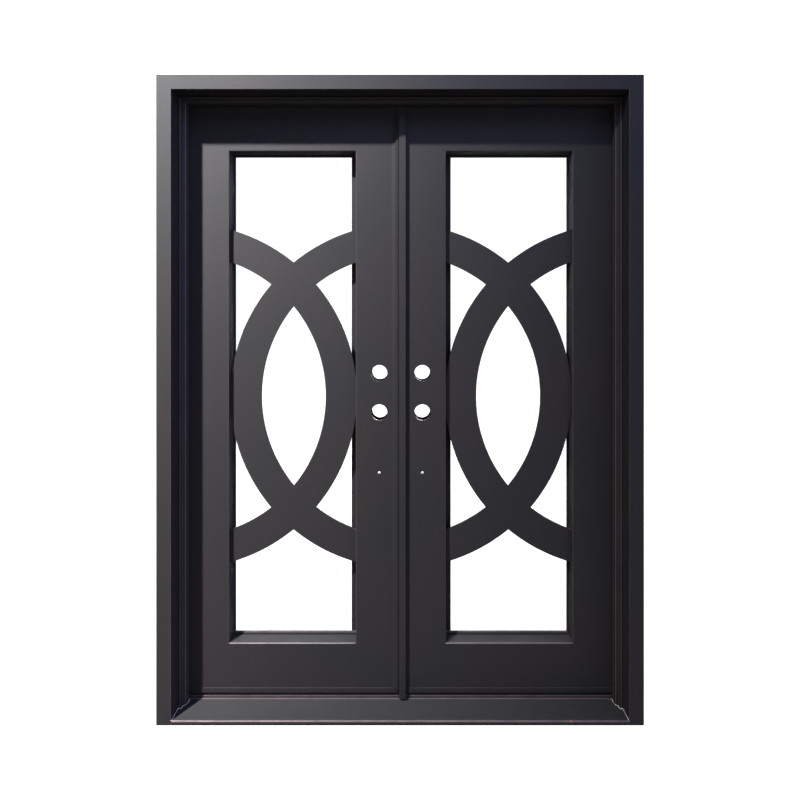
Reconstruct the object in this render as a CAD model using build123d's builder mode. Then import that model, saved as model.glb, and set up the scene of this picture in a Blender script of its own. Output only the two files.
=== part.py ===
"""Double-leaf steel entry door with its frame, 61.5 x 82 inches, opening inwards.

Millimetres. X runs to the right as seen from outside, Y into the house, Z up.
The origin is at the middle of the sill's underside, half way through the frame.
A depth is counted from the frame's front face into the house.
"""

import os

from build123d import *

# Frame: overall size and the folded section shared by both jambs and the header
frame_width = 1562.0
frame_height = 2083.0
frame_depth = 152.4
frame_face = 47.6
frame_wall = 2.0
frame_edge_radius = 1.6
moulding_depth = 57.0
bead_width = 10.5
bead_rise = 3.6
bead_fall = 4.0
bead_land = 5.0
ovolo_length = 15.0
ovolo_crown_across = 0.68
ovolo_crown_along = 0.33
stop_width = 21.0
seal_gap = 5.2

# Threshold
threshold_height = 14.0
threshold_wall = 2.5
threshold_nose_radius = 3.0
riser_height = 21.0
riser_behind_face = 2.4
riser_slope = 0.8
riser_width = 38.0
threshold_back_height = 12.0
lip_height = 15.6
lip_width = 3.0
lip_before_face = 3.1
groove_height = 12.5

# Leaves
recess = 101.6
leaf_thickness = 50.8
leaf_wall = 3.0
leaf_edge_radius = 3.0
hinge_gap = 3.0
head_gap = 3.4
floor_gap = 36.0
meeting_gap = 6.0
lock_stile_width = 149.5
hinge_stile_width = 148.9
top_rail_height = 166.0
bottom_rail_height = 164.0

# Lock preparation
bore_radius = 27.0
backset = 69.85
handle_bore_height = 981.6
bolt_bore_height = 1114.8
pull_hole_radius = 5.5
pull_hole_height = 776.0
latch_radius = 12.7
strike_slot_width = 16.0
strike_slot_height = 46.0

# Infill of two crossing arcs
infill_thickness = 8.0
infill_recess = 18.0
arc_outer_radius = 590.0
arc_inner_radius = 484.0
arc_spread = 374.0
arc_height = 1034.0

# Bottom shoe and sweep
shoe_wall = 1.6
shoe_leg = 14.0
sweep_base = 15.0
sweep_base_height = 3.4
fin_width = 2.4
fin_count = 3
sweep_clearance = 0.3
sweep_set_back = 3.0

# Astragal on the left leaf
astragal_width = 22.0
astragal_height = 15.9
astragal_overlap = 16.5
astragal_lip_back = 5.3
astragal_foot = 23.0
astragal_below_leaf_top = 54.0
cove_width = 19.0
cove_height = 11.0
cove_top = 2.5
cove_groove_width = 4.0
cove_groove_height = 8.5
cove_hollow_across = 0.56
cove_hollow_up = 0.3
cap_strip_thickness = 2.0
cap_strip_clearance = 0.5
astragal_seal_width = 8.0

# Seals
soft_clearance = 0.3
seal_width = 10.0
seal_base = 1.8
seal_from_stop_edge = 1.5

# Main hinges
barrel_radius = 11.0
barrel_clearance = 0.3
knuckle_length = 60.0
bearing_height = 4.0
bearing_inset = 1.0
hinge_pin_radius = 6.0
running_clearance = 0.05
hinge_tab_width = 18.0
hinge_tab_thickness = 6.0
pin_cap_radius = 8.0
pin_cap_height = 4.0
pin_cap_bevel = 1.5
hinge_from_bottom = 194.0
hinge_from_top = 252.0

# Glazed sash on the inside of each leaf
gasket_thickness = 2.4
gasket_width = 11.0
gasket_overhang = 3.2
sash_clearance = 0.3
sash_depth = 25.4
sash_wall = 3.0
sash_flange = 29.3
sash_lock_overlap = 9.9
sash_hinge_overlap = 24.6
sash_bottom_overlap = 21.0
sash_top_overlap = 22.8
tape_thickness = 1.2
tape_reveal = 0.8
tape_grip = 8.0
pane_thickness = 5.0
pane_clearance = 3.0
spacer_depth = 8.0
spacer_width = 9.0
bead_strip_width = 15.0

# Sash hinges and turn buttons
small_barrel_radius = 6.0
small_pin_radius = 3.0
small_knuckle_length = 25.0
small_foot_width = 12.0
small_foot_thickness = 3.0
small_foot_lap = 2.0
small_axis_offset = 7.0
small_hinge_from_bottom = 151.0
small_hinge_from_top = 150.8
button_from_bottom = 421.0
button_from_top = 408.8
button_length = 44.0
button_width = 12.0
button_thickness = 4.0
button_gap = 0.6
button_play = 0.3
button_from_sash = 12.5
post_radius = 7.0
post_pin_radius = 3.0
post_head_radius = 6.0
post_head_height = 2.6

# Flush bolts in the left leaf's meeting edge
bolt_radius = 6.0
bolt_from_edge = 17.0
bolt_clearance = 0.6
bolt_length = 260.0
bolt_retract = 0.3
bolt_throw = 22.0
bolt_plate_width = 25.0
bolt_plate_length = 170.0
bolt_plate_tab = 12.0
bolt_plate_play = 0.15
thumb_width = 10.0
thumb_height = 14.0
thumb_recess = 1.2
thumb_play = 0.4
guide_height = 14.0
guide_depth = 19.0
guide_width = 18.0
screw_radius = 2.5
screw_play = 0.1
screw_head_radius = 4.5
screw_head_height = 1.5
strike_length = 40.0
strike_width = 26.0
strike_play = 0.15

# Wall anchors through both jambs
anchor_radius = 5.5
anchor_count = 4
anchor_from_floor = 310.0
anchor_from_top = 333.0

# How far a cutter reaches past the metal that it cuts
cut_margin = 1.0

# Places worked out from the sizes above
outer_edge = frame_width / 2
reveal = outer_edge - frame_face
head_height = frame_height - frame_face
stop_edge = reveal - stop_width
stop_back = recess - seal_gap
leaf_back = recess + leaf_thickness
leaf_middle = recess + leaf_thickness / 2
hinge_edge = reveal - hinge_gap
lock_edge = meeting_gap / 2
leaf_bottom = floor_gap
leaf_top = head_height - head_gap
opening_lock_side = lock_edge + lock_stile_width
opening_hinge_side = hinge_edge - hinge_stile_width
opening_bottom = leaf_bottom + bottom_rail_height
opening_top = leaf_top - top_rail_height
bore_x = lock_edge + backset
infill_front = recess + infill_recess
infill_back = infill_front + infill_thickness
infill_middle = (opening_lock_side + opening_hinge_side) / 2
lowest_hinge = leaf_bottom + hinge_from_bottom
highest_hinge = leaf_top - hinge_from_top
hinge_heights = (lowest_hinge, (lowest_hinge + highest_hinge) / 2, highest_hinge)
hinge_axis_x = reveal - hinge_gap / 2
hinge_axis_depth = frame_depth + barrel_clearance + barrel_radius
sash_front = leaf_back + gasket_thickness + sash_clearance
sash_back = sash_front + sash_depth
sash_lock_side = opening_lock_side - sash_lock_overlap
sash_hinge_side = opening_hinge_side + sash_hinge_overlap
sash_bottom = opening_bottom - sash_bottom_overlap
sash_top = opening_top + sash_top_overlap
lowest_small_hinge = sash_bottom + small_hinge_from_bottom
highest_small_hinge = sash_top - small_hinge_from_top
small_hinge_heights = (lowest_small_hinge, (lowest_small_hinge + highest_small_hinge) / 2, highest_small_hinge)
small_axis_x = sash_hinge_side + small_axis_offset
small_axis_depth = leaf_back + barrel_clearance + small_barrel_radius
button_x = sash_lock_side - button_from_sash
button_heights = (sash_bottom + button_from_bottom, sash_top - button_from_top)
bolt_x = -(lock_edge + bolt_from_edge)
shoe_bottom = leaf_bottom - shoe_wall
shoe_top = leaf_bottom + shoe_leg
seal_foot = shoe_top + 1.0
astragal_top = leaf_top - astragal_below_leaf_top
cap_strip_top = head_height - stop_width - cap_strip_clearance
anchor_pitch = (frame_height - anchor_from_floor - anchor_from_top) / (anchor_count - 1)
anchor_heights = [anchor_from_floor + number * anchor_pitch for number in range(anchor_count)]
parts_folder = "parts"
os.makedirs(parts_folder, exist_ok=True)


def y_at(depth):
    """Y of a plane at a depth behind the frame's front face."""
    return depth - frame_depth / 2


def front_plane(depth):
    """Upright plane that faces the street at a depth."""
    return Plane.XZ.offset(-y_at(depth))


def save(piece, name):
    piece.part.label = name
    export_step(piece.part, f"{parts_folder}/{name}.step")


def side_box(side, near, far, front, back, low, high, mode=Mode.ADD):
    """Block between two distances from the middle, on the left (-1) or the right (1)."""
    middle = (side * (near + far) / 2, y_at((front + back) / 2), (low + high) / 2)
    with Locations(middle):
        Box(far - near, back - front, high - low, mode=mode)


def upright_rod(x, depth, low, high, radius, mode=Mode.ADD):
    with Locations((x, y_at(depth), (low + high) / 2)):
        Cylinder(radius, high - low, mode=mode)


def section_outline(inset):
    """Section of jamb and header, or its inside: first axis towards the opening, second inwards."""
    bead_end = moulding_depth + bead_fall
    ovolo_start = bead_end + bead_land
    lean = inset / 2**0.5
    crown_x = bead_width + ovolo_crown_across * (stop_width - bead_width)
    crown = (crown_x - lean, ovolo_start + ovolo_crown_along * ovolo_length + lean)
    foot = Vector(-inset, moulding_depth + inset)
    stop_tip = (stop_width - inset, ovolo_start + ovolo_length)
    bead = Edge.make_three_point_arc(
        Vector(0, moulding_depth), Vector(bead_width / 2, moulding_depth - bead_rise), Vector(bead_width, bead_end)
    )
    # The inside of the bead has the same middle, so the wall is as thick all round it
    share = inset / bead.radius
    bead_points = [bead.position_at(place) * (1 - share) + bead.arc_center * share for place in (0, 0.5, 1)]
    with BuildSketch() as outline:
        with BuildLine():
            Line((-inset, inset), foot)
            if inset:
                Line(foot, bead_points[0])
            ThreePointArc(*bead_points)
            Line(bead_points[2], (bead_width - inset, ovolo_start + inset))
            ThreePointArc((bead_width - inset, ovolo_start + inset), crown, stop_tip)
            Polyline(
                stop_tip,
                (stop_width - inset, stop_back - inset),
                (-inset, stop_back - inset),
                (-inset, frame_depth - inset),
                (inset - frame_face, frame_depth - inset),
                (inset - frame_face, inset),
                (-inset, inset),
            )
        make_face()
    return outline.sketch


def hollow_frame_section():
    with BuildSketch() as hollow:
        add(section_outline(0))
        front_corners = hollow.vertices().group_by(Axis.Y)[0]
        fillet(front_corners, frame_edge_radius)
        add(section_outline(frame_wall), mode=Mode.SUBTRACT)
    return hollow.sketch


def mitre_plane(side):
    """Plane of the mitre at a top corner; its normal points down and outwards."""
    return Plane(origin=(side * outer_edge, 0, frame_height), x_dir=(0, 1, 0), z_dir=(side, 0, -1))


def build_jamb(section):
    """Right jamb: its moulding stands on the threshold, its box runs to the floor."""
    corner = Plane(origin=(reveal, y_at(0), 0), x_dir=(-1, 0, 0), z_dir=(0, 0, -1))
    with BuildPart() as jamb:
        with BuildSketch(corner):
            add(section)
        extrude(amount=-frame_height)
        split(bisect_by=mitre_plane(1), keep=Keep.TOP)
        side_box(1, stop_edge - cut_margin, reveal, 0, stop_back + cut_margin, 0, threshold_height, Mode.SUBTRACT)
        with BuildSketch(Plane.YZ.offset(reveal - cut_margin)):
            for height in anchor_heights:
                with Locations((y_at(leaf_middle), height)):
                    Circle(anchor_radius)
        extrude(amount=frame_face + 2 * cut_margin, mode=Mode.SUBTRACT)
    return jamb


def build_header(section):
    start = Plane(origin=(-outer_edge, y_at(0), head_height), x_dir=(0, 0, -1), z_dir=(1, 0, 0))
    with BuildPart() as header:
        with BuildSketch(start):
            add(section)
        extrude(amount=frame_width)
        split(bisect_by=mitre_plane(1), keep=Keep.BOTTOM)
        split(bisect_by=mitre_plane(-1), keep=Keep.BOTTOM)
        strike_pocket(head_height - cut_margin, head_height + frame_wall + cut_margin)
    return header


def strike_pocket(low, high):
    """Opening that a strike plate fits, over or under the left leaf's flush bolt."""
    with Locations((bolt_x, y_at(leaf_middle), (low + high) / 2)):
        Box(strike_length, strike_width, high - low, mode=Mode.SUBTRACT)


def build_threshold():
    riser_front = recess + riser_behind_face
    lip_front = recess - lip_before_face
    with BuildPart() as threshold:
        with BuildSketch(Plane.YZ.offset(-reveal)) as section:
            with BuildLine():
                Polyline(
                    (y_at(0), 0),
                    (y_at(0), threshold_height),
                    (y_at(lip_front), threshold_height),
                    (y_at(lip_front), lip_height),
                    (y_at(lip_front + lip_width), lip_height),
                    (y_at(lip_front + lip_width), groove_height),
                    (y_at(riser_front - riser_slope), groove_height),
                    (y_at(riser_front), riser_height),
                    (y_at(riser_front + riser_width), riser_height),
                    (y_at(frame_depth), threshold_back_height),
                    (y_at(frame_depth), 0),
                    close=True,
                )
            make_face()
            front_top = section.vertices().filter_by_position(Axis.X, y_at(0) - 0.1, y_at(0) + 0.1).sort_by(Axis.Y)[-1]
            fillet(front_top, threshold_nose_radius)
            offset(amount=-threshold_wall, kind=Kind.INTERSECTION, mode=Mode.SUBTRACT)
        extrude(amount=2 * reveal)
        strike_pocket(riser_height - threshold_wall - cut_margin, riser_height + cut_margin)
    return threshold


def build_strike(low, high):
    """Strike plate with the hole that a flush bolt enters."""
    with BuildPart() as strike:
        with Locations((bolt_x, y_at(leaf_middle), (low + high) / 2)):
            Box(strike_length - 2 * strike_play, strike_width - 2 * strike_play, high - low)
        hole = bolt_radius + bolt_clearance
        upright_rod(bolt_x, leaf_middle, low - cut_margin, high + cut_margin, hole, Mode.SUBTRACT)
    return strike


def seal_section(plane):
    """Half-round bulb on a flat base; the base lies on the plane's first axis."""
    with BuildSketch(plane) as bulb:
        with BuildLine():
            Line((0, 0), (seal_width, 0))
            Line((seal_width, 0), (seal_width, seal_base))
            ThreePointArc((seal_width, seal_base), (seal_width / 2, seal_gap - soft_clearance), (0, seal_base))
            Line((0, seal_base), (0, 0))
        make_face()
    return bulb.sketch


def build_frame_seal():
    near = stop_edge + seal_from_stop_edge
    low = head_height - stop_width + seal_from_stop_edge
    with BuildPart() as seal:
        for start in (near, -near - seal_width):
            foot = Plane(origin=(start, y_at(stop_back), seal_foot), x_dir=(1, 0, 0), z_dir=(0, 0, 1))
            extrude(seal_section(foot), amount=low + seal_width - seal_foot)
        head = Plane(origin=(-near, y_at(stop_back), low + seal_width), x_dir=(0, 0, -1), z_dir=(1, 0, 0))
        extrude(seal_section(head), amount=2 * near)
    return seal


def build_leaf_frame(side):
    """Welded box-tube frame of one leaf, with its seams ground flush."""
    width = hinge_edge - lock_edge
    with BuildPart() as leaf:
        with BuildSketch(front_plane(leaf_back)):
            with Locations((side * (lock_edge + hinge_edge) / 2, (leaf_bottom + leaf_top) / 2)):
                Rectangle(width, leaf_top - leaf_bottom)
            with Locations((side * infill_middle, (opening_bottom + opening_top) / 2)):
                opening_width = opening_hinge_side - opening_lock_side
                Rectangle(opening_width, opening_top - opening_bottom, mode=Mode.SUBTRACT)
        extrude(amount=leaf_thickness)
        fillet(leaf.faces().filter_by(Axis.Y).edges(), leaf_edge_radius)
        inner = (recess + leaf_wall, leaf_back - leaf_wall)
        low, high = leaf_bottom + leaf_wall, leaf_top - leaf_wall
        side_box(side, lock_edge + leaf_wall, opening_lock_side - leaf_wall, *inner, low, high, Mode.SUBTRACT)
        side_box(side, opening_hinge_side + leaf_wall, hinge_edge - leaf_wall, *inner, low, high, Mode.SUBTRACT)
        rail = (opening_lock_side, opening_hinge_side)
        side_box(side, *rail, *inner, low, opening_bottom - leaf_wall, Mode.SUBTRACT)
        side_box(side, *rail, *inner, opening_top + leaf_wall, high, Mode.SUBTRACT)
        with BuildSketch(front_plane(leaf_back)):
            with Locations((side * bore_x, handle_bore_height), (side * bore_x, bolt_bore_height)):
                Circle(bore_radius)
            with Locations((side * bore_x, pull_hole_height)):
                Circle(pull_hole_radius)
        extrude(amount=leaf_thickness, mode=Mode.SUBTRACT)
        if side > 0:
            cut_latch_holes()
        else:
            cut_bolt_mortises()
    return leaf


def cut_latch_holes():
    """Round holes in the right leaf's meeting edge, for the latch and the deadbolt."""
    with BuildSketch(Plane.YZ.offset(lock_edge)) as holes:
        with Locations((y_at(leaf_middle), handle_bore_height), (y_at(leaf_middle), bolt_bore_height)):
            Circle(latch_radius)
    extrude(holes.sketch, amount=leaf_wall + cut_margin, mode=Mode.SUBTRACT)


def cut_bolt_mortises():
    """Strike slots, flush bolt plates, screws and bolt ways in the left leaf."""
    screw_places = [(y_at(leaf_middle), height) for height in screw_heights()]
    with BuildSketch(Plane.YZ.offset(-lock_edge)) as slots:
        with Locations((y_at(leaf_middle), handle_bore_height), (y_at(leaf_middle), bolt_bore_height)):
            Rectangle(strike_slot_width, strike_slot_height)
        with Locations(*[(y_at(leaf_middle), middle) for middle in bolt_plate_middles()]):
            Rectangle(bolt_plate_width + 2 * bolt_plate_play, bolt_plate_length + 2 * bolt_plate_play)
        with Locations(*screw_places):
            Circle(screw_radius + screw_play)
    extrude(slots.sketch, amount=-(leaf_wall + cut_margin), mode=Mode.SUBTRACT)
    with BuildSketch(Plane.YZ.offset(-lock_edge)) as heads:
        with Locations(*screw_places):
            Circle(screw_head_radius + screw_play)
    extrude(heads.sketch, amount=-screw_head_height, mode=Mode.SUBTRACT)
    way = bolt_radius + soft_clearance
    for low, high in ((leaf_top - leaf_wall, leaf_top), (leaf_bottom, leaf_bottom + leaf_wall)):
        upright_rod(bolt_x, leaf_middle, low - cut_margin, high + cut_margin, way, Mode.SUBTRACT)


def bolt_plate_middles():
    """Middle heights of the top and the bottom edge plate; the rod stays in both guides."""
    margin = bolt_plate_length / 2 + bolt_throw
    rod_foot = leaf_top - bolt_retract - bolt_length
    rod_head = leaf_bottom + bolt_retract + bolt_length
    return (rod_foot + margin, rod_head - margin)


def screw_heights():
    reach = bolt_plate_length / 2 + bolt_plate_tab / 2
    return [middle + way * reach for middle in bolt_plate_middles() for way in (-1, 1)]


def build_infill(side):
    """One plate cut to two crossing arcs that end on the sides of the opening."""
    with BuildPart() as infill:
        with BuildSketch(front_plane(infill_back)):
            for way in (-1, 1):
                with Locations((side * infill_middle + way * arc_spread, arc_height)):
                    add(arc_ring())
            with Locations((side * infill_middle, (opening_bottom + opening_top) / 2)):
                size = (opening_hinge_side - opening_lock_side, opening_top - opening_bottom)
                Rectangle(*size, mode=Mode.INTERSECT)
        extrude(amount=infill_thickness)
    return infill


def arc_ring():
    with BuildSketch() as ring:
        Circle(arc_outer_radius)
        Circle(arc_inner_radius, mode=Mode.SUBTRACT)
    return ring.sketch


def build_shoe(side):
    """Folded channel round the leaf's bottom edge."""
    with BuildPart() as shoe:
        side_box(side, lock_edge, hinge_edge, recess - shoe_wall, leaf_back + shoe_wall, shoe_bottom, shoe_top)
        inside = (lock_edge - cut_margin, hinge_edge + cut_margin)
        side_box(side, *inside, recess, leaf_back, leaf_bottom, shoe_top + cut_margin, Mode.SUBTRACT)
        if side < 0:
            flat_edge = astragal_width - astragal_overlap + cove_groove_width + soft_clearance
            ends = (shoe_bottom - cut_margin, shoe_top + cut_margin)
            side_box(side, lock_edge - cut_margin, flat_edge, 0, recess, *ends, Mode.SUBTRACT)
            way = bolt_radius + bolt_clearance
            low, high = shoe_bottom - cut_margin, leaf_bottom + cut_margin
            upright_rod(bolt_x, leaf_middle, low, high, way, Mode.SUBTRACT)
    return shoe


def build_sweep(side):
    """Rubber strip with fins that wipe the threshold's riser."""
    front = recess + sweep_set_back
    pitch = (sweep_base - fin_width) / (fin_count - 1)
    with BuildPart() as sweep:
        ends = (lock_edge, hinge_edge)
        side_box(side, *ends, front, front + sweep_base, shoe_bottom - sweep_base_height, shoe_bottom)
        for number in range(fin_count):
            fin = front + number * pitch
            side_box(side, *ends, fin, fin + fin_width, riser_height + sweep_clearance, shoe_bottom)
    return sweep


def build_astragal():
    """Flat bar with a cove moulding along its left side, and a thin strip that closes the gap above it."""
    flat_left = astragal_overlap - astragal_width
    groove_left = flat_left - cove_groove_width
    cove_left = groove_left - cove_top - cove_width
    face = y_at(recess)
    with BuildPart() as astragal:
        with BuildSketch(Plane.XY.offset(astragal_foot)):
            with BuildLine():
                Polyline(
                    (groove_left - cove_top, face - cove_height),
                    (groove_left, face - cove_height),
                    (groove_left, face - cove_groove_height),
                    (flat_left, face - cove_groove_height),
                    (flat_left, face - astragal_height),
                    (astragal_overlap, face - astragal_height),
                    (astragal_overlap, face - astragal_lip_back),
                    (-lock_edge, face - astragal_lip_back),
                    (-lock_edge, face),
                    (cove_left, face),
                )
                hollow = (cove_left + cove_hollow_across * cove_width, face - cove_hollow_up * cove_height)
                ThreePointArc((cove_left, face), hollow, (groove_left - cove_top, face - cove_height))
            make_face()
        extrude(amount=astragal_top - astragal_foot)
        notch = (recess - cove_height - cut_margin, recess + cut_margin)
        ends = (astragal_foot - cut_margin, shoe_top + soft_clearance)
        side_box(-1, -flat_left, -cove_left + cut_margin, *notch, *ends, Mode.SUBTRACT)
        lip_front = recess - astragal_lip_back - cap_strip_thickness
        ends = (astragal_top, cap_strip_top)
        side_box(-1, lock_edge, -groove_left, lip_front, recess, *ends)
        side_box(1, -lock_edge, astragal_overlap, lip_front, lip_front + cap_strip_thickness, *ends)
    return astragal


def build_astragal_seal():
    """Rubber strip behind the astragal's lip, against the right leaf's face."""
    middle = (lock_edge + astragal_overlap) / 2
    with BuildPart() as seal:
        near = middle - astragal_seal_width / 2
        depths = (recess - astragal_lip_back, recess - soft_clearance)
        side_box(1, near, near + astragal_seal_width, *depths, seal_foot, cap_strip_top)
    return seal


def build_knuckles(side, on_leaf):
    """Welded barrels with their tabs: the lower ones on the frame, the upper ones on the leaf."""
    rise = knuckle_length + bearing_height if on_leaf else 0
    near = hinge_edge - hinge_tab_width if on_leaf else reveal + soft_clearance
    bore = hinge_pin_radius + (running_clearance if on_leaf else 0)
    with BuildPart() as knuckles:
        for height in hinge_heights:
            low, high = height + rise, height + rise + knuckle_length
            upright_rod(side * hinge_axis_x, hinge_axis_depth, low, high, barrel_radius)
            side_box(side, near, near + hinge_tab_width, leaf_back, leaf_back + hinge_tab_thickness, low, high)
            ends = (low - cut_margin, high + cut_margin)
            upright_rod(side * hinge_axis_x, hinge_axis_depth, *ends, bore, Mode.SUBTRACT)
    return knuckles


def build_hinge_pins(side):
    """Pins pressed into the frame's knuckles, each with a bevelled cap over the leaf's knuckle."""
    x = side * hinge_axis_x
    with BuildPart() as pins:
        for height in hinge_heights:
            top = height + 2 * knuckle_length + bearing_height + soft_clearance
            upright_rod(x, hinge_axis_depth, height, top, hinge_pin_radius)
            upright_rod(x, hinge_axis_depth, top, top + pin_cap_height - pin_cap_bevel, pin_cap_radius)
            with Locations((x, y_at(hinge_axis_depth), top + pin_cap_height - pin_cap_bevel / 2)):
                Cone(pin_cap_radius, pin_cap_radius - pin_cap_bevel, pin_cap_bevel)
    return pins


def build_bearings(side):
    bore = hinge_pin_radius + running_clearance
    with BuildPart() as bearings:
        for height in hinge_heights:
            low, high = height + knuckle_length, height + knuckle_length + bearing_height
            upright_rod(side * hinge_axis_x, hinge_axis_depth, low, high, barrel_radius - bearing_inset)
            ends = (low - cut_margin, high + cut_margin)
            upright_rod(side * hinge_axis_x, hinge_axis_depth, *ends, bore, Mode.SUBTRACT)
    return bearings


def ring_plate(side, inset_out, inset_in, front, back):
    """Flat ring inside the sash's outline, between two distances from its outer edge."""
    width = sash_hinge_side - sash_lock_side
    height = sash_top - sash_bottom
    with BuildSketch(front_plane(back)) as ring:
        with Locations((side * (sash_lock_side + sash_hinge_side) / 2, (sash_bottom + sash_top) / 2)):
            Rectangle(width - 2 * inset_out, height - 2 * inset_out)
            Rectangle(width - 2 * inset_in, height - 2 * inset_in, mode=Mode.SUBTRACT)
    extrude(ring.sketch, amount=back - front)


def sash_layers():
    """Depths of the sash's layers, from the front flange to the inner bead."""
    flange_back = sash_front + sash_wall
    tape_back = flange_back + tape_thickness
    outer_back = tape_back + pane_thickness
    spacer_back = outer_back + spacer_depth
    inner_back = spacer_back + pane_thickness
    return flange_back, tape_back, outer_back, spacer_back, inner_back


def build_sash_frame(side):
    """Mitred angle: a flange towards the street and a leg round the glass."""
    flange_back = sash_layers()[0]
    with BuildPart() as sash:
        ring_plate(side, 0, sash_flange, sash_front, flange_back)
        ring_plate(side, 0, sash_wall, flange_back, sash_back)
    return sash


def build_sash_tape(side):
    flange_back, tape_back = sash_layers()[:2]
    with BuildPart() as tape:
        ring_plate(side, sash_flange - tape_grip, sash_flange + tape_reveal, flange_back, tape_back)
    return tape


def build_sash_panes(side):
    flange_back, tape_back, outer_back, spacer_back, inner_back = sash_layers()
    inset = sash_wall + pane_clearance
    width = sash_hinge_side - sash_lock_side - 2 * inset
    height = sash_top - sash_bottom - 2 * inset
    with BuildPart() as panes:
        for back in (outer_back, inner_back):
            with BuildSketch(front_plane(back)):
                with Locations((side * (sash_lock_side + sash_hinge_side) / 2, (sash_bottom + sash_top) / 2)):
                    Rectangle(width, height)
            extrude(amount=pane_thickness)
    return panes


def build_sash_spacer(side):
    outer_back, spacer_back = sash_layers()[2:4]
    inset = sash_wall + pane_clearance
    with BuildPart() as spacer:
        ring_plate(side, inset, inset + spacer_width, outer_back, spacer_back)
    return spacer


def build_sash_bead(side):
    inner_back = sash_layers()[4]
    with BuildPart() as bead:
        ring_plate(side, sash_wall, sash_wall + bead_strip_width, inner_back, sash_back)
    return bead


def build_sash_gasket(side):
    """Foam strip on the leaf's inside; its edge shows all round the opening."""
    middle = (side * infill_middle, (opening_bottom + opening_top) / 2)
    width = opening_hinge_side - opening_lock_side - 2 * gasket_overhang
    height = opening_top - opening_bottom - 2 * gasket_overhang
    with BuildPart() as gasket:
        with BuildSketch(front_plane(leaf_back + gasket_thickness)):
            with Locations(middle):
                Rectangle(width + 2 * gasket_width, height + 2 * gasket_width)
                Rectangle(width, height, mode=Mode.SUBTRACT)
        extrude(amount=gasket_thickness)
    return gasket


def build_small_knuckles(side, on_sash):
    """Halves of the sash hinges: the lower ones stand on the leaf, the upper ones on the sash."""
    if on_sash:
        near, far, front = sash_hinge_side, small_axis_x, sash_front
        rise, bore = small_knuckle_length, small_pin_radius + running_clearance
    else:
        near, front = small_axis_x - small_foot_lap, leaf_back
        far, rise, bore = near + small_foot_width, 0, small_pin_radius
    with BuildPart() as knuckles:
        for height in small_hinge_heights:
            low, high = height + rise, height + rise + small_knuckle_length
            upright_rod(side * small_axis_x, small_axis_depth, low, high, small_barrel_radius)
            side_box(side, near, far, front, front + small_foot_thickness, low, high)
            ends = (low - cut_margin, high + cut_margin)
            upright_rod(side * small_axis_x, small_axis_depth, *ends, bore, Mode.SUBTRACT)
    return knuckles


def build_small_pins(side):
    with BuildPart() as pins:
        for height in small_hinge_heights:
            top = height + 2 * small_knuckle_length
            upright_rod(side * small_axis_x, small_axis_depth, height, top, small_pin_radius)
    return pins


def build_posts(side):
    """Shouldered screws that carry the turn buttons."""
    with BuildPart() as posts:
        for height in button_heights:
            seat = sash_back + button_gap - button_play
            head = sash_back + button_gap + button_thickness + button_play
            for front, back, radius in (
                (leaf_back, seat, post_radius),
                (seat, head, post_pin_radius),
                (head, head + post_head_height, post_head_radius),
            ):
                with BuildSketch(front_plane(back)):
                    with Locations((side * button_x, height)):
                        Circle(radius)
                extrude(amount=back - front)
    return posts


def build_button(side, height):
    """Double-ended turn button; turned level, one end holds the sash shut."""
    front = sash_back + button_gap
    with BuildPart() as button:
        with BuildSketch(front_plane(front + button_thickness)):
            with Locations((side * button_x, height)):
                SlotOverall(button_length, button_width, rotation=90)
                Circle(post_pin_radius + running_clearance, mode=Mode.SUBTRACT)
        extrude(amount=button_thickness)
    return button


def build_flush_bolt(top):
    """Rod with a thumb piece that slides in the edge plate's slot, drawn back."""
    low = leaf_top - bolt_retract - bolt_length if top else leaf_bottom + bolt_retract
    shift = -bolt_throw / 2 if top else bolt_throw / 2
    thumb = bolt_plate_middles()[0 if top else 1] + shift
    front, back = leaf_middle - thumb_width / 2, leaf_middle + thumb_width / 2
    thumb_ends = (thumb - thumb_height / 2, thumb + thumb_height / 2)
    with BuildPart() as bolt:
        upright_rod(bolt_x, leaf_middle, low, low + bolt_length, bolt_radius)
        side_box(-1, lock_edge + thumb_recess, -bolt_x, front, back, *thumb_ends)
    return bolt


def build_bolt_plate(top):
    """Edge plate, its backing tabs and the two guides that the rod runs in."""
    middle = bolt_plate_middles()[0 if top else 1]
    half = bolt_plate_length / 2
    front, back = leaf_middle - bolt_plate_width / 2, leaf_middle + bolt_plate_width / 2
    behind = lock_edge + leaf_wall
    with BuildPart() as plate:
        side_box(-1, lock_edge, behind, front, back, middle - half, middle + half)
        tabs = (middle - half - bolt_plate_tab, middle + half + bolt_plate_tab)
        side_box(-1, behind, behind + leaf_wall, front, back, *tabs)
        guide = (behind + leaf_wall, behind + leaf_wall + guide_depth)
        guide_front, guide_back = leaf_middle - guide_width / 2, leaf_middle + guide_width / 2
        for low in (middle - half, middle + half - guide_height):
            side_box(-1, *guide, guide_front, guide_back, low, low + guide_height)
        upright_rod(bolt_x, leaf_middle, *tabs, bolt_radius + running_clearance, Mode.SUBTRACT)
        slot_half = (thumb_height + bolt_throw) / 2 + thumb_play
        slot = (leaf_middle - thumb_width / 2 - thumb_play, leaf_middle + thumb_width / 2 + thumb_play)
        through = (lock_edge - cut_margin, behind + leaf_wall + cut_margin)
        side_box(-1, *through, *slot, middle - slot_half, middle + slot_half, Mode.SUBTRACT)
        with BuildSketch(Plane.YZ.offset(-behind)):
            ends = (middle - half - bolt_plate_tab / 2, middle + half + bolt_plate_tab / 2)
            with Locations(*[(y_at(leaf_middle), end) for end in ends]):
                Circle(screw_radius)
        extrude(amount=-leaf_wall, mode=Mode.SUBTRACT)
    return plate


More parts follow.
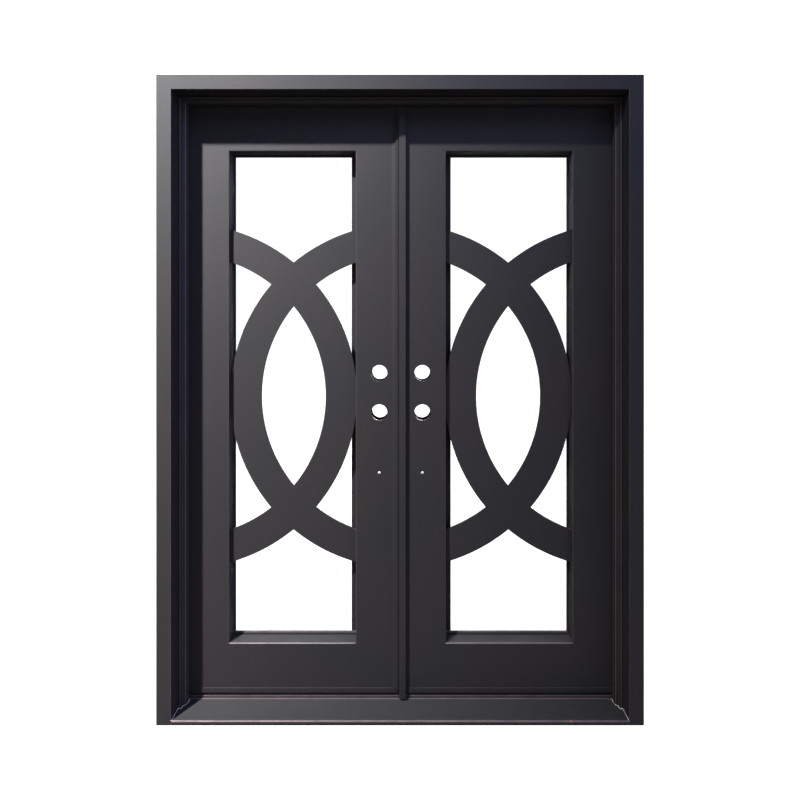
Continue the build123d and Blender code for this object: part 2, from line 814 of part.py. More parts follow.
def build_plate_screws():
    with BuildPart() as screws:
        for height in screw_heights():
            for radius, depth in ((screw_head_radius, screw_head_height), (screw_radius, 2 * leaf_wall)):
                with BuildSketch(Plane.YZ.offset(-lock_edge)):
                    with Locations((y_at(leaf_middle), height)):
                        Circle(radius)
                extrude(amount=-depth)
    return screws


# Frame
jamb_section = hollow_frame_section()
right_jamb = build_jamb(jamb_section)
with BuildPart() as left_jamb:
    mirror(right_jamb.part, about=Plane.YZ)
save(left_jamb, "left_jamb")
save(right_jamb, "right_jamb")
save(build_header(jamb_section), "header")
save(build_threshold(), "threshold")
save(build_frame_seal(), "frame_seal")
save(build_strike(head_height, head_height + frame_wall), "header_strike")
save(build_strike(riser_height - threshold_wall, riser_height), "threshold_strike")

# Both leaves with their hinges and sashes
for name, side in (("left", -1), ("right", 1)):
    save(build_leaf_frame(side), f"{name}_leaf_frame")
    save(build_infill(side), f"{name}_infill")
    save(build_shoe(side), f"{name}_shoe")
    save(build_sweep(side), f"{name}_sweep")
    save(build_knuckles(side, False), f"{name}_frame_knuckles")
    save(build_knuckles(side, True), f"{name}_leaf_knuckles")
    save(build_hinge_pins(side), f"{name}_hinge_pins")
    save(build_bearings(side), f"{name}_hinge_bearings")
    save(build_sash_frame(side), f"{name}_sash_frame")
    save(build_sash_tape(side), f"{name}_sash_tape")
    save(build_sash_panes(side), f"{name}_sash_panes")
    save(build_sash_spacer(side), f"{name}_sash_spacer")
    save(build_sash_bead(side), f"{name}_sash_bead")
    save(build_sash_gasket(side), f"{name}_sash_gasket")
    save(build_small_knuckles(side, False), f"{name}_sash_hinge_leaf_half")
    save(build_small_knuckles(side, True), f"{name}_sash_hinge_sash_half")
    save(build_small_pins(side), f"{name}_sash_hinge_pins")
    save(build_posts(side), f"{name}_button_posts")
    for place, height in zip(("lower", "upper"), button_heights):
        save(build_button(side, height), f"{name}_{place}_button")

# Left leaf only
save(build_astragal(), "astragal")
save(build_astragal_seal(), "astragal_seal")
save(build_flush_bolt(True), "top_flush_bolt")
save(build_flush_bolt(False), "bottom_flush_bolt")
save(build_bolt_plate(True), "top_bolt_plate")
save(build_bolt_plate(False), "bottom_bolt_plate")
save(build_plate_screws(), "bolt_plate_screws")
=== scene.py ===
"""Iron front door with two leaves: its finishes, welds, filler, screws and studs, and the stage around it."""

import math

import bpy
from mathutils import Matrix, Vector


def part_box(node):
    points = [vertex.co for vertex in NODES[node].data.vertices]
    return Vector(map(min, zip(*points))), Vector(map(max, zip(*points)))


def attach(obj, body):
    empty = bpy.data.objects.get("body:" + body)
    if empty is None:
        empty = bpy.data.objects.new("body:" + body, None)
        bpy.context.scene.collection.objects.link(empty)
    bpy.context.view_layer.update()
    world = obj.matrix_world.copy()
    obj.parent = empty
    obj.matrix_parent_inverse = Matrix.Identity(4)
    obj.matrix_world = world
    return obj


bl_info = {
    "name": "Iron Front Door",
    "version": (1, 0, 0),
    "blender": (4, 5, 0),
    "location": "3D View > Sidebar > Iron Door",
    "description": "Finishes, weld beads, filler, fixings and stage for a double-leaf iron entry door",
    "category": "Object",
}

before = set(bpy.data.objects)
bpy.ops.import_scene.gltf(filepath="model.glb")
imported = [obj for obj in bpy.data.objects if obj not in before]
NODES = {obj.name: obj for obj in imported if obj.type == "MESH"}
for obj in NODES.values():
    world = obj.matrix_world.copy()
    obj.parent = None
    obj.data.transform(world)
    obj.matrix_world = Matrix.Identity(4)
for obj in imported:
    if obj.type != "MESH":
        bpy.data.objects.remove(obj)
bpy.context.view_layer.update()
SIDES = (("left", -1), ("right", 1))
MM = 0.001

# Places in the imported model, in metres. The sill is the lower side of a leaf's opening, and the tread is the
# level top of the threshold
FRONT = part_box("left_jamb")[0].y
LEAF_FRONT, LEAF_BACK = (corner.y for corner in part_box("right_leaf_frame"))
SASH_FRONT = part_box("right_sash_frame")[0].y
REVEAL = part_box("threshold")[1].x
SILL = 200 * MM
TREAD = 14 * MM
PULL_HOLE_ACROSS, PULL_HOLE_HEIGHT = 72.85 * MM, 776 * MM
CHIP = (547.4 * MM, FRONT + 1 * MM, TREAD - 1.6 * MM)

# Heights at which an infill's arcs meet a side of its opening, from the middle of the infill
INFILL_SPANS = ((457 * MM, 568 * MM), (-42 * MM, 42 * MM), (-568 * MM, -457 * MM))

# The hinges' lower ends on the frame, how much higher a leaf's knuckle starts, and the length of a weld
HINGE_HEIGHTS = (230 * MM, 1005 * MM, 1780 * MM)
LEAF_KNUCKLE_RISE = 64 * MM
HINGE_WELD = 60 * MM

# Half the distance between the two screws of a strike, and from a glazing bead's edge to its screws
STRIKE_SCREW_SHIFT = 14.5 * MM
BEAD_SCREW_MARGIN = 7.5 * MM

# Edges of the frame's moulding, and the line of its foot on the threshold: distance from the reveal and from
# the front, both in millimetres
MOULDING_EDGES = ((0, 57), (5.3, 53.4), (10.5, 63.5), (17.6, 71), (21, 82))
MOULDING_FOOT = ((0, 1.5), (0, 56.4), (1.6, 53.9), (5.2, 52.8), (8.9, 53.9), (10.9, 57.2), (10.9, 61),
                 (10.6, 66), (17.6, 70.8), (21, 81), (21, 95.5))

# Strength of the white behind the door, enough to stay white through two panes
WHITE = 1.6

# The camera stands where the photo was taken: its place, the picture's width and the focal length in pixels,
# the shift that brings the door back to the photo's place in the picture, and the sensor in millimetres
CAMERA_PLACE = (43.6 * MM, FRONT - 1746 * MM, 1349 * MM)
PICTURE_WIDTH, FOCAL_LENGTH = 800, 545.8
CAMERA_SHIFT = (-0.01713, -0.12025)
SENSOR_WIDTH = 36.0

# Half the width of the floor, in metres
FLOOR_REACH = 30.0


def linear(code):
    """A #rrggbb colour as linear red, green, blue and full opacity."""
    parts = [int(code[start:start + 2], 16) / 255 for start in (1, 3, 5)]
    return tuple(p / 12.92 if p <= 0.04045 else ((p + 0.055) / 1.055) ** 2.4 for p in parts) + (1.0,)


def colour(name, description, code):
    return bpy.props.FloatVectorProperty(
        name=name, description=description, subtype="COLOR", size=4, min=0, max=1, default=linear(code))


def length(name, description, millimetres):
    return bpy.props.FloatProperty(
        name=name, description=description, subtype="DISTANCE", unit="LENGTH", min=0,
        default=millimetres * MM)


class FinishSettings(bpy.types.PropertyGroup):
    """Colours and pattern sizes of the finishes"""

    paint: colour("Paint", "Dark bronze enamel on all the ironwork", "#1b191b")
    undertone: colour("Undertone", "Warmer coat that shows through the brushed one", "#221b1d")
    # The copper colour also paints the highlights on the sills' front edges and on the sash flanges
    rubbed: colour("Rubbed edges", "Copper glaze rubbed on to the edges", "#6a5b5c")
    primer: colour("Primer", "Orange primer where the paint is chipped", "#d8743f")
    dust: colour("Dust", "Thin dust that lies on level surfaces", "#2d2c2d")
    filler: colour("Filler", "Filler along the foot of the moulding", "#ece0d8")
    steel: colour("Steel", "Zinc-plated pins, bolts and screws", "#a9abac")
    aluminium: colour("Spacer", "Mill-finish spacer between the panes", "#b4b6b8")
    rubber: colour("Rubber", "Seals, sweeps and glazing gaskets", "#151515")
    glass: colour("Glass", "Tint of the clear panes", "#fafdfb")
    brush_width: length("Brush mark", "Width of one mark of the brush", 1.6)
    peel_size: length("Orange peel", "Size of one bump in the dried enamel", 2.2)


class WeldSettings(bpy.types.PropertyGroup):
    """Sizes of the weld beads, the tacks and the filler"""

    bead_width: length("Bead width", "Width of a weld bead", 4.6)
    ripple: length("Ripple", "Distance from one ripple to the next", 2.6)
    tack: length("Tack", "Width of a single weld tack", 4.2)
    filler: length("Filler", "Width of the filler at the foot of the moulding", 2.6)
    filler_step: length("Filler step", "Distance from one lump of the filler to the next", 1.1)


class ScrewSettings(bpy.types.PropertyGroup):
    """Sizes of the small screws and of the studs for the pulls"""

    head: length("Head", "Diameter of a screw's head", 6.4)
    height: length("Height", "Height of a screw's head", 1.3)
    stud: length("Stud", "Diameter of a stud for a pull", 9.4)
    spacing: length("Spacing", "Greatest distance between two screws of the glazing bead", 210)


class StageSettings(bpy.types.PropertyGroup):
    """Floor, soft light all round, main lamp and fill"""

    floor: colour("Floor", "Pale floor, as the camera sees it", "#fcfcfc")
    floor_shade: colour("Floor shade", "Darker floor that the light meets", "#3c3c3c")
    sky: colour("Sky", "Soft blue-violet light from the right", "#b3c6ff")
    bounce: colour("Bounce", "Soft light from below", "#fff8f6")
    lamp: colour("Lamp", "Main light, from upper left in front", "#fdfeff")
    sky_strength: bpy.props.FloatProperty(
        name="Sky strength", description="Strength of the light from the right", min=0, default=1.35)
    bounce_strength: bpy.props.FloatProperty(
        name="Bounce strength", description="Strength of the light from below", min=0, default=0.36)
    lamp_power: bpy.props.FloatProperty(
        name="Lamp power", description="Power of the main lamp", unit="POWER", min=0, default=20900)
    lamp_radius: length("Lamp radius", "Half the width of the main lamp", 120)
    lamp_cone: bpy.props.FloatProperty(
        name="Lamp cone", description="Full angle of the main lamp's soft beam", unit="ROTATION", default=1.8)
    fill_power: bpy.props.FloatProperty(
        name="Fill power", description="Power of the wide light indoors", unit="POWER", min=0, default=900)
    top_power: bpy.props.FloatProperty(
        name="Top power", description="Power of the soft light over the header", unit="POWER", min=0,
        default=11)


def add(tree, kind, inputs=None, out=None, **settings):
    """Adds a node, sets it up and gives its inputs values or links; returns it, or the output asked for."""
    node = tree.nodes.new(kind)
    for name, value in settings.items():
        setattr(node, name, value)
    for key, value in (inputs or {}).items():
        if isinstance(value, bpy.types.NodeSocket):
            tree.links.new(value, node.inputs[key])
        else:
            node.inputs[key].default_value = value
    return node if out is None else node.outputs[out]


def new_material(name):
    """An empty node material, its tree and its place coordinates."""
    material = bpy.data.materials.new(name)
    material.use_nodes = True
    tree = material.node_tree
    tree.nodes.clear()
    return material, tree, add(tree, "ShaderNodeTexCoord", out="Object")


def speckle(tree, place, size, detail=2.0, middle=(0.35, 0.65), ends=(0.0, 1.0)):
    """Noise with marks of a size in metres along each axis; its middle values are spread between two ends."""
    counted = add(tree, "ShaderNodeMapping", {"Vector": place, "Scale": [1 / one for one in size]}, "Vector")
    noise = add(tree, "ShaderNodeTexNoise", {"Vector": counted, "Scale": 1.0, "Detail": detail}, "Fac")
    return add(tree, "ShaderNodeMapRange", {
        "Value": noise, "From Min": middle[0], "From Max": middle[1],
        "To Min": ends[0], "To Max": ends[1]}, "Result")


def glaze_on_edges(tree, place, edges):
    """How much glaze is rubbed on, from 0 to 1; on the sash flange, painted highlight. Each edge runs along the
    axis where its place is None.

    Both sides of the door have the same edges, so a place across is counted from the middle.
    """
    apart = add(tree, "ShaderNodeSeparateXYZ", {"Vector": place}).outputs
    from_middle = add(tree, "ShaderNodeMath", {0: apart["X"]}, "Value", operation="ABSOLUTE")
    folded = add(tree, "ShaderNodeCombineXYZ", {"X": from_middle, "Y": apart["Y"], "Z": apart["Z"]}, "Vector")
    total = None
    for spot, width, strength in edges:
        across = [0.0 if one is None else 1.0 for one in spot]
        start = [0.0 if one is None else -one for one in spot]
        offset = add(tree, "ShaderNodeVectorMath", {0: folded, 1: across, 2: start}, "Vector",
                     operation="MULTIPLY_ADD")
        distance = add(tree, "ShaderNodeVectorMath", {0: offset}, "Value", operation="LENGTH")
        share = add(tree, "ShaderNodeMapRange", {
            "Value": distance, "From Min": 0.4 * width, "From Max": width,
            "To Min": strength, "To Max": 0.0}, "Result")
        total = share if total is None else add(
            tree, "ShaderNodeMath", {0: total, 1: share}, "Value", operation="MAXIMUM")
    return total


def glaze_and_sill_highlight(tree, place):
    """Rubbed glaze on a leaf's rounded edges, and more as a painted highlight on each sill's front edge."""
    normal = add(tree, "ShaderNodeNewGeometry", out="True Normal")
    sizes = add(tree, "ShaderNodeSeparateXYZ", {
        "Vector": add(tree, "ShaderNodeVectorMath", {0: normal}, "Vector", operation="ABSOLUTE")}).outputs
    flattest = add(tree, "ShaderNodeMath", {0: sizes["X"], 1: sizes["Y"]}, "Value", operation="MAXIMUM")
    flattest = add(tree, "ShaderNodeMath", {0: flattest, 1: sizes["Z"]}, "Value", operation="MAXIMUM")
    rounded = add(tree, "ShaderNodeMapRange", {
        "Value": flattest, "From Min": 0.995, "From Max": 0.93, "To Min": 0.0, "To Max": 0.3}, "Result")
    # Sills' upward front edges get the full colour: a painted highlight where the lamp above catches them
    upward = add(tree, "ShaderNodeSeparateXYZ", {"Vector": normal}, "Z")
    level = add(tree, "ShaderNodeMapRange", {"Value": upward, "From Min": 0.1, "From Max": 0.5}, "Result")
    depth = add(tree, "ShaderNodeSeparateXYZ", {"Vector": place}, "Y")
    near_front = add(tree, "ShaderNodeMapRange", {
        "Value": depth, "From Min": LEAF_FRONT + 5.5 * MM, "From Max": LEAF_FRONT + 3.5 * MM}, "Result")
    sill_highlight = add(tree, "ShaderNodeMath", {0: level, 1: near_front}, "Value", operation="MULTIPLY")
    return add(tree, "ShaderNodeMath", {0: rounded, 1: sill_highlight}, "Value", operation="MAXIMUM")


def enamel(name, brush, glaze=None, chip=None):
    """Dark bronze enamel, brushed on by hand over sprayed primer, with a copper glaze rubbed on the edges.

    It is a rough satin dielectric: nearly black in the shade, and grey where the lamp glances off it. brush
    gives the length of a brush mark along each axis, in widths of a mark. glaze is a function that gives the
    rubbed share (painted highlight on sill edges and sash flanges), and chip a place where the primer shows.
    """
    look = bpy.context.scene.door_finish
    material, tree, place = new_material(name)
    marks = speckle(tree, place, [share * look.brush_width for share in brush], 3.0, (0.3, 0.7))
    clouds = speckle(tree, place, (0.25, 0.25, 0.4), 4.0, ends=(0.0, 0.9))
    tone = add(tree, "ShaderNodeMix", {"Factor": clouds, "A": look.paint, "B": look.undertone}, "Result",
               data_type="RGBA")
    upward = add(tree, "ShaderNodeSeparateXYZ", {
        "Vector": add(tree, "ShaderNodeNewGeometry", out="Normal")}, "Z")
    level = add(tree, "ShaderNodeMapRange", {"Value": upward, "From Min": 0.7, "From Max": 0.95}, "Result")
    grains = speckle(tree, place, (0.12, 0.03, 0.03), 5.0, (0.25, 0.75), (0.6, 0.85))
    settled = add(tree, "ShaderNodeMath", {0: level, 1: grains}, "Value", operation="MULTIPLY")
    tone = add(tree, "ShaderNodeMix", {"Factor": settled, "A": tone, "B": look.dust}, "Result",
               data_type="RGBA")
    # Copper glaze: rubbed wear on edges, and a painted highlight on the sills' front edges and sash flanges
    if glaze:
        patches = speckle(tree, place, (0.045, 0.045, 0.11), 5.0, (0.36, 0.58), (0.7, 1.0))
        glaze_and_highlight = add(tree, "ShaderNodeMath", {0: glaze(tree, place), 1: patches}, "Value", operation="MULTIPLY")
        tone = add(tree, "ShaderNodeMix", {"Factor": glaze_and_highlight, "A": tone, "B": look.rubbed}, "Result",
                   data_type="RGBA")
    if chip:
        away = add(tree, "ShaderNodeVectorMath", {0: place, 1: chip}, "Value", operation="DISTANCE")
        bare = add(tree, "ShaderNodeMapRange", {
            "Value": away, "From Min": 3.4 * MM, "From Max": 2.4 * MM}, "Result")
        tone = add(tree, "ShaderNodeMix", {"Factor": bare, "A": tone, "B": look.primer}, "Result",
                   data_type="RGBA")
    gloss = add(tree, "ShaderNodeMapRange", {"Value": marks, "To Min": 0.67, "To Max": 0.73}, "Result")
    if glaze:
        gloss = add(tree, "ShaderNodeMix", {"Factor": glaze_and_highlight, "A": gloss, "B": 0.42}, "Result")
    peel = speckle(tree, place, (look.peel_size,) * 3, 1.0, (0.2, 0.8))
    relief = add(tree, "ShaderNodeMath", {0: marks, 1: 0.6, 2: peel}, "Value", operation="MULTIPLY_ADD")
    bump = add(tree, "ShaderNodeBump", {"Strength": 0.2, "Distance": 0.0001, "Height": relief}, "Normal")
    surface = add(tree, "ShaderNodeBsdfPrincipled", {
        "Base Color": tone, "Roughness": gloss, "Normal": bump, "IOR": 1.5}, "BSDF")
    add(tree, "ShaderNodeOutputMaterial", {"Surface": surface})
    return material


def rubber(name, grain):
    """Extruded EPDM: matt black with a faint grey bloom and fine lines; grain is the size of a line."""
    look = bpy.context.scene.door_finish
    material, tree, place = new_material(name)
    lines = speckle(tree, place, grain, 2.0, (0.3, 0.7))
    bloom = speckle(tree, place, (0.035, 0.035, 0.08), 4.0, (0.4, 0.7), (0.0, 0.3))
    tone = add(tree, "ShaderNodeMix", {"Factor": bloom, "A": look.rubber, "B": linear("#2c2c2d")}, "Result",
               data_type="RGBA")
    gloss = add(tree, "ShaderNodeMapRange", {"Value": lines, "To Min": 0.66, "To Max": 0.78}, "Result")
    bump = add(tree, "ShaderNodeBump", {"Strength": 0.4, "Distance": 0.0001, "Height": lines}, "Normal")
    surface = add(tree, "ShaderNodeBsdfPrincipled", {
        "Base Color": tone, "Roughness": gloss, "Normal": bump, "IOR": 1.52}, "BSDF")
    add(tree, "ShaderNodeOutputMaterial", {"Surface": surface})
    return material


def plated_steel(name, grain):
    """Zinc-plated steel: grey metal with fine tool marks and duller patches; grain is the size of a mark."""
    look = bpy.context.scene.door_finish
    material, tree, place = new_material(name)
    marks = speckle(tree, place, grain, 3.0, (0.3, 0.7))
    dull = speckle(tree, place, (0.014, 0.014, 0.014), 4.0, (0.4, 0.7))
    tone = add(tree, "ShaderNodeMix", {"Factor": dull, "A": look.steel, "B": linear("#7f817f")}, "Result",
               data_type="RGBA")
    gloss = add(tree, "ShaderNodeMapRange", {"Value": dull, "To Min": 0.24, "To Max": 0.42}, "Result")
    bump = add(tree, "ShaderNodeBump", {"Strength": 0.3, "Distance": 0.00006, "Height": marks}, "Normal")
    surface = add(tree, "ShaderNodeBsdfPrincipled", {
        "Base Color": tone, "Roughness": gloss, "Normal": bump, "Metallic": 1.0}, "BSDF")
    add(tree, "ShaderNodeOutputMaterial", {"Surface": surface})
    return material


def mill_aluminium(name):
    """Rolled spacer bar: pale metal with long lines and a row of small drying holes, drawn as painted shade."""
    look = bpy.context.scene.door_finish
    material, tree, place = new_material(name)
    lines = speckle(tree, place, (0.001, 0.001, 0.025), 2.0, (0.3, 0.7))
    holes = add(tree, "ShaderNodeTexVoronoi", {
        "Vector": place, "Scale": 240.0, "Randomness": 0.0}, "Distance")
    # The drying holes are dark dots with a dent of bump: painted shade inside each hole
    hole_shade_dots = add(tree, "ShaderNodeMapRange", {"Value": holes, "From Min": 0.22, "From Max": 0.16}, "Result")
    lined = add(tree, "ShaderNodeMix", {
        "Factor": lines, "A": look.aluminium, "B": linear("#a3a5a8")}, "Result", data_type="RGBA")
    tone = add(tree, "ShaderNodeMix", {"Factor": hole_shade_dots, "A": lined, "B": linear("#3c3d3f")}, "Result",
               data_type="RGBA")
    gloss = add(tree, "ShaderNodeMapRange", {"Value": lines, "To Min": 0.3, "To Max": 0.45}, "Result")
    bump = add(tree, "ShaderNodeBump", {"Strength": 0.3, "Distance": 0.0001, "Height": hole_shade_dots}, "Normal",
               invert=True)
    surface = add(tree, "ShaderNodeBsdfPrincipled", {
        "Base Color": tone, "Roughness": gloss, "Normal": bump, "Metallic": 1.0}, "BSDF")
    add(tree, "ShaderNodeOutputMaterial", {"Surface": surface})
    return material


def float_glass(name):
    """Clear float glass: flat and bright, with a trace of green and the thinnest film of dust."""
    look = bpy.context.scene.door_finish
    material, tree, place = new_material(name)
    film = speckle(tree, place, (0.2, 0.2, 0.35), 5.0, (0.45, 0.75))
    tone = add(tree, "ShaderNodeMix", {"Factor": film, "A": look.glass, "B": linear("#f3f6f4")}, "Result",
               data_type="RGBA")
    surface = add(tree, "ShaderNodeBsdfPrincipled", {
        "Base Color": tone, "Roughness": 0.0, "IOR": 1.52, "Transmission Weight": 1.0}, "BSDF")
    add(tree, "ShaderNodeOutputMaterial", {"Surface": surface})
    return material


def body_filler(name):
    """Grey-pink body filler, knifed in and only partly painted over: dull, chalky and uneven."""
    look = bpy.context.scene.door_finish
    material, tree, place = new_material(name)
    bare = speckle(tree, place, (0.008, 0.008, 0.008), 4.0, (0.25, 0.42))
    lumps = speckle(tree, place, (0.002, 0.002, 0.002), 3.0, (0.3, 0.7))
    tone = add(tree, "ShaderNodeMix", {"Factor": bare, "A": look.rubbed, "B": look.filler}, "Result",
               data_type="RGBA")
    gloss = add(tree, "ShaderNodeMapRange", {"Value": bare, "To Min": 0.6, "To Max": 0.8}, "Result")
    bump = add(tree, "ShaderNodeBump", {"Strength": 0.5, "Distance": 0.0003, "Height": lumps}, "Normal")
    surface = add(tree, "ShaderNodeBsdfPrincipled", {
        "Base Color": tone, "Roughness": gloss, "Normal": bump}, "BSDF")
    add(tree, "ShaderNodeOutputMaterial", {"Surface": surface})
    return material


def zinc_bloom(name):
    """Zinc plating gone chalky: the dull white bloom that damp leaves on an unpainted stud."""
    material, tree, place = new_material(name)
    chalk = speckle(tree, place, (0.002, 0.002, 0.002), 4.0, (0.35, 0.65))
    tone = add(tree, "ShaderNodeMix", {
        "Factor": chalk, "A": linear("#c9c8c6"), "B": linear("#f0eeeb")}, "Result", data_type="RGBA")
    gloss = add(tree, "ShaderNodeMapRange", {"Value": chalk, "To Min": 0.55, "To Max": 0.8}, "Result")
    bump = add(tree, "ShaderNodeBump", {"Strength": 0.3, "Distance": 0.0001, "Height": chalk}, "Normal")
    surface = add(tree, "ShaderNodeBsdfPrincipled", {
        "Base Color": tone, "Roughness": gloss, "Normal": bump}, "BSDF")
    add(tree, "ShaderNodeOutputMaterial", {"Surface": surface})
    return material


def give(material, *names):
    """Puts one material in every slot of the named CAD nodes."""
    for name in names:
        for holder in NODES[name].material_slots:
            holder.material = material


def both(*endings):
    return [f"{side}_{ending}" for side, _ in SIDES for ending in endings]


class DOOR_OT_paint_frame(bpy.types.Operator):
    """Paints the jambs, the header, the threshold and the hinge knuckles on the frame"""

    bl_idname = "door.paint_frame"
    bl_label = "Paint Frame"

    def execute(self, context):
        moulding = [((REVEAL - along * MM, FRONT + depth * MM, None), 1.9 * MM, 0.8)
                    for along, depth in MOULDING_EDGES]
        moulding.append(((REVEAL, FRONT, None), 2.2 * MM, 0.4))
        give(enamel("jamb_enamel", (1, 1, 50), lambda tree, place: glaze_on_edges(tree, place, moulding)),
             "left_jamb", "right_jamb", *both("frame_knuckles"))
        give(enamel("header_enamel", (50, 1, 1)), "header")
        ridges = (((None, FRONT + 1.2 * MM, TREAD - 1.2 * MM), 4.2 * MM, 1.0),
                  ((None, FRONT + 98.9 * MM, TREAD + 1.4 * MM), 2.8 * MM, 1.0),
                  ((None, FRONT + 104.2 * MM, TREAD + 6.8 * MM), 2.4 * MM, 1.0))
        give(enamel("threshold_enamel", (50, 1, 1), lambda tree, place: glaze_on_edges(tree, place, ridges),
                    CHIP), "threshold")
        return {"FINISHED"}


class DOOR_OT_paint_leaves(bpy.types.Operator):
    """Paints the leaves, their infills, shoes and astragal, and the sashes"""

    bl_idname = "door.paint_leaves"
    bl_label = "Paint Leaves"

    def execute(self, context):
        give(enamel("leaf_enamel", (1, 1, 50), glaze_and_sill_highlight), *both("leaf_frame", "leaf_knuckles"))
        give(enamel("astragal_enamel", (1, 1, 50)), "astragal")
        give(enamel("infill_enamel", (8, 1, 8)), *both("infill"))
        shoe_edge = (((None, LEAF_FRONT - 1.6 * MM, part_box("left_shoe")[1].z), 1.6 * MM, 0.25),)
        give(enamel("shoe_enamel", (50, 1, 1), lambda tree, place: glaze_on_edges(tree, place, shoe_edge)),
             *both("shoe"))
        # A bright line on the lower edge of each sash flange: a painted highlight where the lamp reaches it
        flange_highlight = (((None, SASH_FRONT, SILL + 8.3 * MM), 5.5 * MM, 1.0),)
        sash_parts = ("sash_frame", "sash_bead", "sash_hinge_leaf_half", "sash_hinge_sash_half",
                      "lower_button", "upper_button")
        give(enamel("sash_enamel", (1, 1, 30), lambda tree, place: glaze_on_edges(tree, place, flange_highlight)),
             *both(*sash_parts))
        return {"FINISHED"}


class DOOR_OT_finish_glazing(bpy.types.Operator):
    """Finishes the panes, their spacers, and every rubber seal, gasket and sweep"""

    bl_idname = "door.finish_glazing"
    bl_label = "Finish Glazing and Seals"

    def execute(self, context):
        give(float_glass("clear_float_glass"), *both("sash_panes"))
        give(mill_aluminium("spacer_bar"), *both("sash_spacer"))
        give(rubber("upright_rubber", (0.001, 0.001, 0.05)), "frame_seal", "astragal_seal")
        give(rubber("sweep_rubber", (0.05, 0.001, 0.001)), *both("sweep"))
        give(rubber("glazing_rubber", (0.003, 0.003, 0.003)), *both("sash_tape", "sash_gasket"))
        return {"FINISHED"}


class DOOR_OT_finish_hardware(bpy.types.Operator):
    """Finishes the pins, bearings, posts, bolts, plates and screws"""

    bl_idname = "door.finish_hardware"
    bl_label = "Finish Hardware"

    def execute(self, context):
        give(plated_steel("turned_steel", (0.003, 0.003, 0.0007)), "top_flush_bolt", "bottom_flush_bolt",
             *both("hinge_pins", "hinge_bearings", "sash_hinge_pins"))
        give(plated_steel("plate_steel", (0.001, 0.001, 0.016)), "top_bolt_plate", "bottom_bolt_plate",
             "header_strike", "threshold_strike", "bolt_plate_screws", *both("button_posts"))
        return {"FINISHED"}


def tree_with(name, numbers):
    """A Geometry Nodes tree with a geometry in and out, a material, a seed and the named sizes."""
    tree = bpy.data.node_groups.new(name, "GeometryNodeTree")
    tree.interface.new_socket("Geometry", in_out="INPUT", socket_type="NodeSocketGeometry")
    for number in numbers:
        tree.interface.new_socket(number, in_out="INPUT", socket_type="NodeSocketFloat")
    tree.interface.new_socket("Seed", in_out="INPUT", socket_type="NodeSocketInt")
    tree.interface.new_socket("Material", in_out="INPUT", socket_type="NodeSocketMaterial")
    tree.interface.new_socket("Geometry", in_out="OUTPUT", socket_type="NodeSocketGeometry")
    return tree, add(tree, "NodeGroupInput").outputs


def end_tree(tree, geometry, material, smooth=True):
    shape = add(tree, "GeometryNodeRealizeInstances", {"Geometry": geometry}, "Geometry")
    if smooth:
        shape = add(tree, "GeometryNodeSetShadeSmooth", {"Geometry": shape}, "Geometry")
    painted = add(tree, "GeometryNodeSetMaterial", {"Geometry": shape, "Material": material}, "Geometry")
    add(tree, "NodeGroupOutput", {"Geometry": painted})


def bead_tree():
    """Overlapping ripples of weld metal along every edge of a line mesh."""
    tree, given = tree_with("weld_bead", ("Width", "Ripple"))
    line = add(tree, "GeometryNodeMeshToCurve", {"Mesh": given["Geometry"]}, "Curve")
    steps = add(tree, "GeometryNodeResampleCurve", {"Curve": line, "Length": given["Ripple"]}, "Curve",
                mode="LENGTH")
    uneven = add(tree, "FunctionNodeRandomValue", {2: 0.85, 3: 1.12, "Seed": given["Seed"]}, 1,
                 data_type="FLOAT")
    size = add(tree, "ShaderNodeMath", {0: uneven, 1: given["Width"]}, "Value", operation="MULTIPLY")
    ripple = add(tree, "GeometryNodeMeshIcoSphere", {"Radius": 0.5, "Subdivisions": 2}, "Mesh")
    placed = add(tree, "GeometryNodeInstanceOnPoints", {
        "Points": steps, "Instance": ripple, "Scale": size}, "Instances")
    end_tree(tree, placed, given["Material"])
    return tree


def tack_tree():
    """One uneven blob of weld metal at each point."""
    tree, given = tree_with("weld_tack", ("Width",))
    uneven = add(tree, "FunctionNodeRandomValue", {
        0: (0.75, 0.75, 0.75), 1: (1.3, 1.1, 1.3), "Seed": given["Seed"]}, 0, data_type="FLOAT_VECTOR")
    size = add(tree, "ShaderNodeVectorMath", {0: uneven, "Scale": given["Width"]}, "Vector",
               operation="SCALE")
    blob = add(tree, "GeometryNodeMeshIcoSphere", {"Radius": 0.5, "Subdivisions": 3}, "Mesh")
    placed = add(tree, "GeometryNodeInstanceOnPoints", {
        "Points": given["Geometry"], "Instance": blob, "Scale": size}, "Instances")
    end_tree(tree, placed, given["Material"])
    return tree


